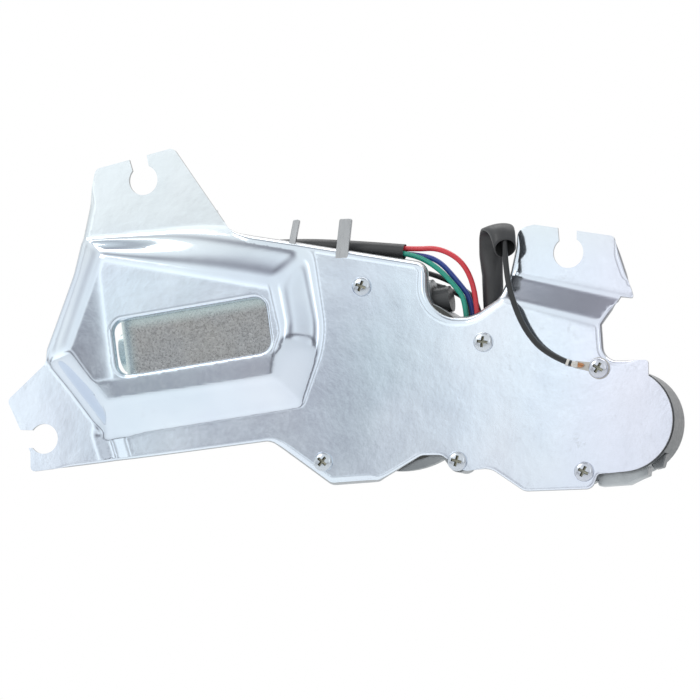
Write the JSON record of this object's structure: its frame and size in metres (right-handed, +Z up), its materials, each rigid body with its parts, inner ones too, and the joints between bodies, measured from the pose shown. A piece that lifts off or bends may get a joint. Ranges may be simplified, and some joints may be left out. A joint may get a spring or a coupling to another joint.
{
  "type": "rear wiper motor",
  "caption": "Rear window wiper motor on a domed zinc steel bracket with keyhole ears, offset output spindle driven by a worm, crank and rod.",
  "frame": {"origin": "middle of the wiper arm stud, on the output spindle's axis", "axes": "+Y along the output spindle towards the wiper arm, +Z up in the vehicle position shown, +X to the right when looking at the bracket"},
  "size_m": [0.2973, 0.0866, 0.1522],
  "materials": {
    "zinc_plated_steel": "bright zinc, slightly mottled",
    "die_cast_alloy": "matt as cast",
    "galvanised_can": "spangled galvanised",
    "ground_steel": "ground",
    "sintered_bronze": "oiled",
    "copper": "plain",
    "laminated_steel": "dull",
    "ferrite": "dull",
    "carbon": "dull",
    "nylon_natural": "satin",
    "board_plastic": "satin",
    "black_plastic": "satin",
    "gasket_paper": "dull",
    "black_rubber": "matt",
    "sleeve_black": "soft satin",
    "wire_red": "satin",
    "wire_blue": "satin",
    "wire_green": "satin",
    "wire_black": "satin",
    "tinned_copper": "tinned"
  },
  "bodies": {
    "case": {"mounting_plate": "zinc_plated_steel", "cover_screws": "zinc_plated_steel", "connector_bracket": "zinc_plated_steel", "can_screws": "zinc_plated_steel", "gear_housing": "die_cast_alloy", "motor_can": "galvanised_can", "wheel_axle": "ground_steel", "wheel_clip": "ground_steel", "thrust_washer": "ground_steel", "spindle_washer": "ground_steel", "front_bearing": "ground_steel", "magnet_clips": "ground_steel", "brush_springs": "ground_steel", "spindle_bushes": "sintered_bronze", "rear_bush": "sintered_bronze", "contact_springs": "copper", "connector_pins": "copper", "magnets": "ferrite", "brushes": "carbon", "thrust_button": "nylon_natural", "contact_board": "board_plastic", "brush_holder": "board_plastic", "shaft_end_cap": "black_plastic", "harness_connector": "black_plastic", "housing_gasket": "gasket_paper", "wiring_grommet": "black_rubber", "spindle_seal": "black_rubber", "harness_sleeve": "sleeve_black", "ground_sleeve": "sleeve_black", "red_wire": "wire_red", "blue_wire": "wire_blue", "green_wire": "wire_green", "black_wire_upper": "wire_black", "black_wire_lower": "wire_black", "ground_wire": "wire_black", "ring_terminal": "tinned_copper"},
    "armature": {"worm_shaft": "ground_steel", "armature_core": "laminated_steel", "armature_windings": "copper", "commutator": "copper"},
    "gear": {"worm_wheel": "nylon_natural", "crank_pin": "ground_steel", "crank_clip": "ground_steel", "contact_disc": "copper"},
    "link": {"connecting_rod": "ground_steel", "rod_bushes": "nylon_natural"},
    "output": {"output_spindle": "ground_steel", "output_lever": "ground_steel", "lever_pin": "ground_steel", "spindle_circlip": "ground_steel"}
  },
  "joints": [
    {"name": "motor_spin", "type": "hinge", "parent": "case", "child": "armature", "pos_m": [-0.10086, -0.055, 0.05121], "axis": [0.991, 0, 0.134], "range_deg": [0, 10034.89]},
    {"name": "wheel_spin", "type": "hinge", "parent": "case", "child": "gear", "pos_m": [-0.0965, -0.055, 0.019], "axis": [0, -1, 0], "range_deg": [0, 179.19]},
    {"name": "rod_swing", "type": "hinge", "parent": "gear", "child": "link", "pos_m": [-0.08702, -0.06155, 0.0165], "axis": [0, -1, 0], "range_deg": [-180, 0]},
    {"name": "spindle_sweep", "type": "hinge", "parent": "case", "child": "output", "pos_m": [0, -0.036, 0], "axis": [0, -1, 0], "range_deg": [-110, 0]}
  ],
  "couplings": [
    {"joint": "wheel_spin", "follows": "motor_spin", "ratio": 0.017857},
    {"joint": "rod_swing", "follows": "motor_spin", "ratio": -0.017937},
    {"joint": "spindle_sweep", "follows": "motor_spin", "ratio": -0.010962}
  ]
}
